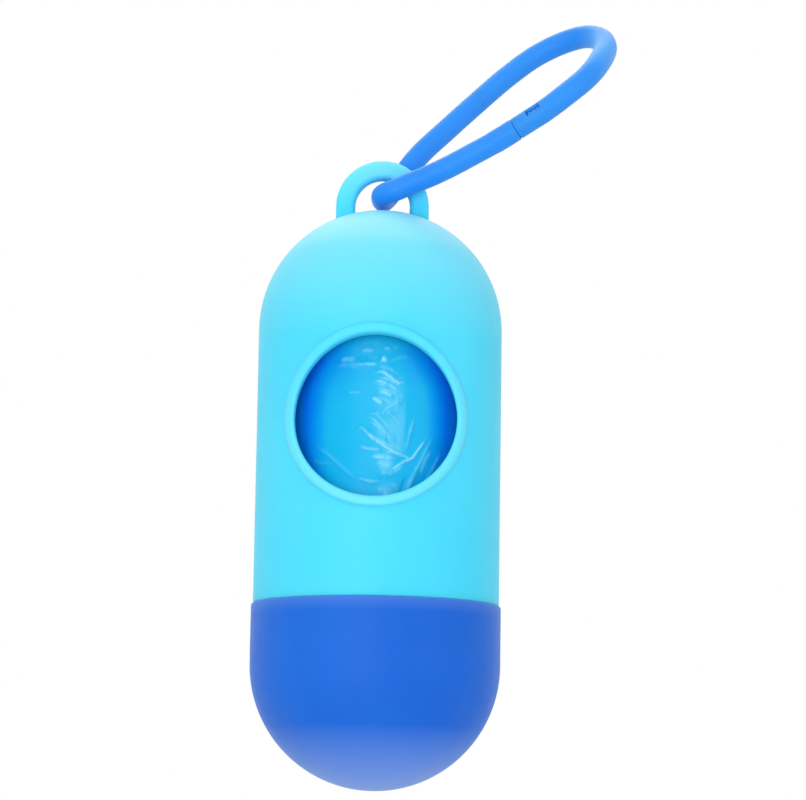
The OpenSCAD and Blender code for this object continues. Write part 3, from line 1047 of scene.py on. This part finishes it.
def ridge(along, up, points, width):
    """1 on the crease, falling to 0 beside it and towards its ends."""
    lengths = [math.dist(a, b) for a, b in zip(points, points[1:])]
    total, run = sum(lengths), 0
    nearest, side_of, share = np.full(along.shape, np.inf), np.zeros(along.shape), np.zeros(along.shape)
    for (a, b), length in zip(zip(points, points[1:]), lengths):
        way = ((b[0] - a[0]) / length, (b[1] - a[1]) / length)
        held = np.clip((along - a[0]) * way[0] + (up - a[1]) * way[1], 0, length)
        distance = np.hypot(along - a[0] - held * way[0], up - a[1] - held * way[1])
        closer = distance < nearest
        nearest = np.where(closer, distance, nearest)
        side_of = np.where(closer, (along - a[0]) * way[1] - (up - a[1]) * way[0], side_of)
        share = np.where(closer, (run + held) / total, share)
        run += length
    swell = np.sin(math.pi * np.clip(share, 0, 1))
    spread = width * np.where(side_of > 0, STEEP, GENTLE) * (0.55 + 0.45 * swell)
    return np.exp(-(nearest / spread) ** 2) * np.clip(swell * 1.6, 0, 1)


def add_crease(height, pale_and_highlight, along, up, points, width, rise, whitening_and_highlight):
    """Adds one crease to both arrays, at the vertices near it."""
    reach = 4 * width
    near = np.ones(along.shape, bool)
    for values, ends in zip((along, up), zip(*points)):
        near &= (values > min(ends) - reach) & (values < max(ends) + reach)
    mask = ridge(along[near], up[near], points, width)
    height[near] += rise * mask
    pale_and_highlight[near] = np.maximum(pale_and_highlight[near], whitening_and_highlight * mask ** 1.7)


# %% Add up the creases, in millimetres along the film and up from the opening's middle
LAP = math.tau * ROLL_R / MM  # the length of one turn of film


def ramp(values, start, width):
    """0 before start, rising to 1 over width. A negative width ramps the other way."""
    return np.clip((values - start) / width, 0, 1)


def add_creases(along, up):
    """The height and the paleness of every crease, patch and hem: crease whitening together with painted
    highlights.
    """
    height, pale_and_highlight = np.zeros(len(along)), np.zeros(len(along))
    for width, rise, whitening_and_highlight, *points in creases:
        on_roll = [(math.asin(a / 10 * MM / ROLL_R) * ROLL_R / MM, u / 10) for a, u in points]
        add_crease(height, pale_and_highlight, along, up, on_roll, width / 100, rise / 100, whitening_and_highlight / 100)
    for crease in faint_creases():
        for lap in (-LAP, 0, LAP):
            add_crease(height, pale_and_highlight, along + lap, up, *crease)
    for (middle, level), (half_across, half_up), whitening_and_highlight in patches:
        mask = np.exp(-((along - middle) / half_across) ** 2 - ((up - level) / half_up) ** 2)
        pale_and_highlight = np.maximum(pale_and_highlight, whitening_and_highlight * mask)
    # Painted highlight: a paler column just right of the middle.
    column = ramp(along, -0.6, 3) * ramp(along, 4.8, -1) * ramp(up, -6, 1.2) * ramp(up, 7, -3)
    pale_and_highlight = np.maximum(pale_and_highlight, 0.20 * column)
    hem = ramp(up, 8, 0.12) * ramp(up, 9, -0.12) * ramp(along, -5.9, 0.2) * ramp(along, 2.2, -1.5)
    return height + 0.08 * hem, pale_and_highlight


# %% Where shade is painted on the film
def painted_film_shade(along, up, slow):
    """Painted shade at both sides of three equal bands round the roll, one of which is behind the opening."""
    across = (along + LAP / 6) % (LAP / 3) - LAP / 6
    away = np.abs(across)
    depth = ramp(away, 7.4, 4.6) * np.clip(1 - 0.45 * (-3 - up) / 8, 0.4, 1)
    depth += 0.6 * ramp(up, 4.5, 4) * ramp(away, 3, 4) + 0.2 * slow
    return np.clip(depth, 0, 1) * (1 - ramp(away, 11.7, 1.5) * np.where(across < 0, 0.4, 0.25))


# %% Crease the sleeve
# In front, the film's top edge is raised this far in the middle, and not at all this many mm to the side.
FRONT_EDGE_RISE, FRONT_EDGE = 2.9 * MM, 8.5


def crease_film(piece):
    """Lifts the film's top edge in front, raises the creases and keeps the two attributes."""
    mesh = piece.data
    places = np.empty(len(mesh.vertices) * 3)
    mesh.vertices.foreach_get("co", places)
    x, y, z = places.reshape(-1, 3).T
    radius, turn = np.hypot(x - AXIS_X, y), np.arctan2(x - AXIS_X, -y)
    along = turn * ROLL_R / MM
    lift = np.clip(1 - (along / FRONT_EDGE) ** 2, 0, 1) ** 0.5 * FRONT_EDGE_RISE
    z = z + lift * ramp(z, ROLL_TOP_Z - 3 * MM, 3 * MM)
    up = (z - OPENING_Z) / MM
    height, pale_and_highlight = add_creases(along, up)
    slow = np.array([noise.noise(Vector((math.sin(a), math.cos(a), h * 60)) * 2.2)
                     for a, h in zip(turn, z)])
    height = np.clip(height + 0.10 * slow, -0.25, 0.33) * ramp(z, ROLL_LOW_Z, 6 * MM)
    radius = radius + np.where(radius > ROLL_R - FILM_T / 2, height * MM, 0)
    places = np.stack((AXIS_X + radius * np.sin(turn), -radius * np.cos(turn), z), axis=1)
    mesh.vertices.foreach_set("co", places.ravel())
    for name, values in (("depth", painted_film_shade(along, up, slow)), ("pale_and_highlight", pale_and_highlight)):
        attribute = mesh.attributes.new(name, "FLOAT", "POINT")
        attribute.data.foreach_set("value", values.astype(np.float32))
    mesh.update()


bm = bmesh.new()
grow_sleeve(bm)
wound_film = finish_piece("wound_film", bm, outside_film)
crease_film(wound_film)
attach(wound_film, "roll")
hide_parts("bag_15")

# %% [markdown]
# ## Floor, background and light
# The capsule hangs, so the pale floor lies well below it. The background is white to the camera, to
# gloss and to what shows through, but the world lights the object at a lower level, so its colours
# don't wash out. Four large soft lights then round the form: from the front, both sides and behind.

# %% Floor
FLOOR_Z = -330 * MM
FLOOR_HALF = 1.6


def make_floor():
    bm = bmesh.new()
    bmesh.ops.create_grid(bm, x_segments=1, y_segments=1, size=FLOOR_HALF)
    bmesh.ops.translate(bm, verts=bm.verts[:], vec=(0, 0, FLOOR_Z))
    material, tree, shader = new_material("pale_floor")
    colour = blend_colours(tree, noise_at(tree, 30, detail=3), (0.8,) * 3, (0.84,) * 3)
    fill(tree, shader, {"Base Color": colour, "Roughness": 0.9})
    return finish_piece("floor", bm, material, outwards=False)


floor = make_floor()
floor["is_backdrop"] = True


# %% White background
WORLD_LIGHT = 0.71


def make_world():
    world = bpy.data.worlds.new("white_room")
    world.use_nodes = True
    tree = world.node_tree
    path = add_node(tree, "LightPath").outputs
    seen = path["Is Camera Ray"]
    for kind in ("Is Glossy Ray", "Is Transmission Ray"):
        seen = add_node(tree, "Math", {0: seen, 1: path[kind]}, operation="MAXIMUM").outputs[0]
    level = add_node(tree, "MapRange", {"Value": seen, "To Min": WORLD_LIGHT, "To Max": 1})
    fill(tree, tree.nodes["Background"], {"Color": (1, 1, 1, 1), "Strength": level.outputs["Result"]})
    bpy.context.scene.world = world


make_world()
print("world lights the object at", WORLD_LIGHT)


# %% Soft lights
def soft_light(name, at, size, power):
    lamp = bpy.data.lights.new(name, "AREA")
    lamp.shape = "SQUARE"
    lamp.size = size
    lamp.energy = power
    light = add_object(name, lamp)
    light.matrix_world = looking(Vector(at), Vector((AXIS_X, 0, OPENING_Z)))
    print(name, "light:", power, "W")


soft_light("front", (-0.18, -0.78, -0.09), 0.4, 2.1)
soft_light("left", (-0.45, -0.4, 0.45), 0.4, 0.85)
soft_light("right", (0.5, -0.5, 0), 0.5, 0.8)
soft_light("above_behind", (-0.05, 0.35, 0.5), 0.5, 1.4)

# %% Finish
bpy.context.scene.view_settings.view_transform = "Standard"
dressed_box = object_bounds()
apart = max(abs(a - b) for ends in zip(cad_box, dressed_box) for a, b in zip(*ends))
print(f"the dressed object keeps to the construction's box within {apart / MM:.3f} mm")
